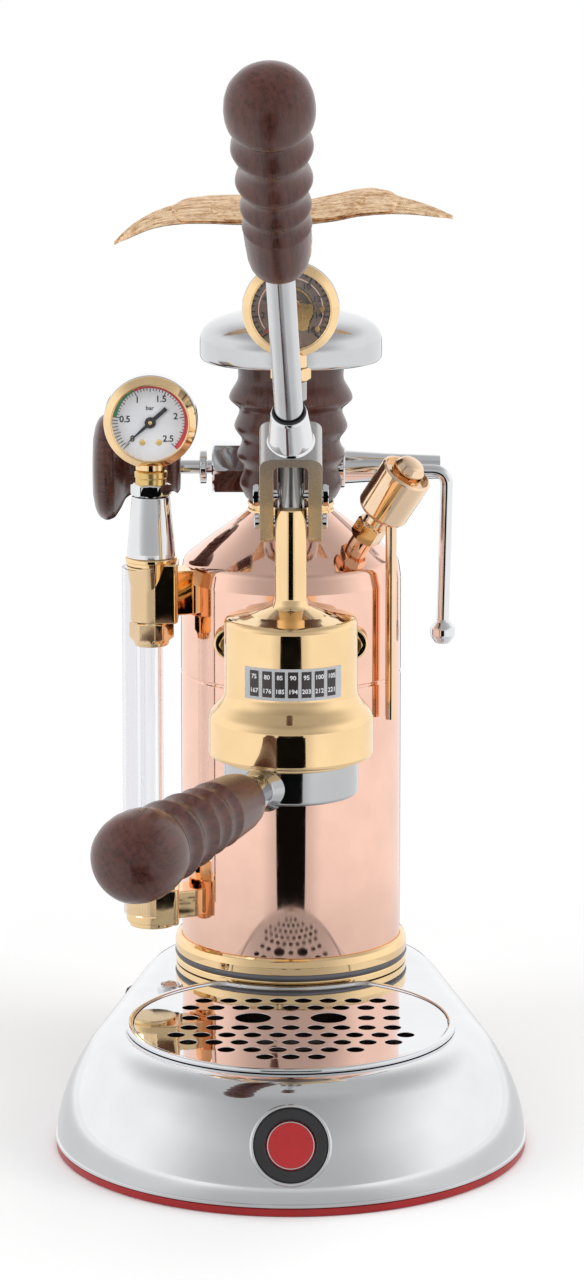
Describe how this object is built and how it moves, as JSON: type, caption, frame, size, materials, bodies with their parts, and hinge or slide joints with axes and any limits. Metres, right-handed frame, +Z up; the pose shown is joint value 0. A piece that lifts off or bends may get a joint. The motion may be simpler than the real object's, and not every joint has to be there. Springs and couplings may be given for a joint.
{
  "type": "lever espresso machine",
  "caption": "Manual lever espresso machine with a copper boiler, lever group, sight glass, gauges, steam tap, eagle-topped cap and a drip tray in a rounded polished base.",
  "frame": {"origin": "on the underside, in the middle between the drip tray's axis and the boiler's axis line, where the machine rests on a worktop", "axes": "+Z up, -Y towards the lever and the drip tray at the front, +X to the right as seen from the front"},
  "size_m": [0.203, 0.3454, 0.4781],
  "materials": {
    "chrome": "mirror polished",
    "steel": "satin",
    "copper": "polished copper",
    "gold": "mirror polished gold",
    "brass": "machined",
    "wood": "lacquered dark wood",
    "rubber": "matte",
    "red_trim": "satin red",
    "black_plastic": "gloss",
    "glass": "clear"
  },
  "bodies": {
    "machine": {"base_shell": "chrome", "base_trim": "red_trim", "bottom_plate": "steel", "badge": "black_plastic", "pilot_lamp": "chrome", "pilot_lens": "glass", "switch_frame": "black_plastic", "cord_gland": "rubber", "boiler_seat_ring": "gold", "boiler_gasket": "rubber", "boiler_foot_ring": "gold", "boiler": "copper", "boiler_ring_nut": "brass", "element_flange": "brass", "heating_element": "steel", "pressurestat": "black_plastic", "filler_neck": "gold", "group_bell": "gold", "group_sleeve": "brass", "group_gasket": "rubber", "shower_screen": "steel", "boiler_flange": "gold", "fulcrum_pin": "chrome", "sight_top_fitting": "gold", "sight_bottom_fitting": "gold", "sight_nut_top": "gold", "sight_nut_bottom": "gold", "sight_glass": "glass", "sight_guard": "glass", "gauge_column": "chrome", "boiler_gauge_case": "gold", "steam_valve_body": "chrome", "safety_valve_body": "gold", "safety_valve_cap": "copper", "drain_tube": "gold"},
    "lever": {"lever_fork": "steel", "lever_rod": "chrome", "lever_grip": "wood"},
    "piston_unit": {"piston": "brass", "piston_seal_lower": "rubber", "piston_seal_upper": "rubber", "piston_rod": "steel", "piston_pin": "chrome", "piston_gauge_case": "gold"},
    "piston_needle": {"piston_gauge_pointer": "black_plastic"},
    "boiler_needle": {"boiler_gauge_pointer": "black_plastic"},
    "cap_carrier": {"cap_gasket": "rubber"},
    "boiler_cap": {"cap_insert": "brass", "cap_grip": "wood", "cap_dome": "chrome", "eagle": "gold"},
    "steam_handwheel": {"steam_knob": "wood", "steam_spindle": "steel"},
    "wand": {"steam_wand": "chrome"},
    "filter_holder": {"portafilter": "chrome", "portafilter_grip": "wood", "filter_basket": "steel"},
    "bowl": {"drip_bowl": "chrome"},
    "grille": {"drip_grille": "chrome"},
    "rocker": {"switch_rocker": "red_trim"}
  },
  "joints": [
    {"name": "lever_pivot", "type": "hinge", "parent": "machine", "child": "lever", "pos_m": [0, -0.0119, 0.2668], "axis": [-1, 0, 0], "range_deg": [-80, 6]},
    {"name": "piston_slide", "type": "slide", "parent": "machine", "child": "piston_unit", "axis": [0, 0, 1], "range_m": [-0.0206, 0.0016]},
    {"name": "piston_gauge_needle", "type": "hinge", "parent": "piston_unit", "child": "piston_needle", "pos_m": [0, -0.023, 0.3605], "axis": [0, 1, 0], "range_deg": [0, 270]},
    {"name": "boiler_gauge_needle", "type": "hinge", "parent": "machine", "child": "boiler_needle", "pos_m": [-0.062, 0.043, 0.302], "axis": [0, 1, 0], "range_deg": [0, 270]},
    {"name": "cap_lift", "type": "slide", "parent": "machine", "child": "cap_carrier", "axis": [0, 0, 1], "range_m": [0, 0.0091]},
    {"name": "cap_turn", "type": "hinge", "parent": "cap_carrier", "child": "boiler_cap", "pos_m": [0, 0.068, 0.264], "axis": [0, 0, 1], "range_deg": [0, 2160]},
    {"name": "steam_knob_turn", "type": "hinge", "parent": "machine", "child": "steam_handwheel", "pos_m": [0, 0.103, 0.2718], "axis": [-1, 0, 0], "range_deg": [0, 540]},
    {"name": "wand_swivel", "type": "hinge", "parent": "machine", "child": "wand", "pos_m": [0.056, 0.092, 0.2718], "axis": [0, 1, 0], "range_deg": [-75, 8]},
    {"name": "portafilter_twist", "type": "hinge", "parent": "machine", "child": "filter_holder", "pos_m": [0, -0.023, 0.1736], "axis": [0, 0, 1], "range_deg": [-45, 8]},
    {"name": "bowl_lift", "type": "slide", "parent": "machine", "child": "bowl", "axis": [0, 0, 1], "range_m": [0, 0.035]},
    {"name": "grille_lift", "type": "slide", "parent": "bowl", "child": "grille", "axis": [0, 0, 1], "range_m": [0, 0.03]},
    {"name": "switch_rock", "type": "hinge", "parent": "machine", "child": "rocker", "pos_m": [-0.07113, 0.09674, 0.02311], "axis": [-0.3746, -0.9272, 0], "range_deg": [0, 12]}
  ],
  "couplings": [
    {"joint": "piston_slide", "follows": "lever_pivot", "m_per_rad": 0.0147},
    {"joint": "cap_lift", "follows": "cap_turn", "m_per_rad": 0.00023873}
  ]
}
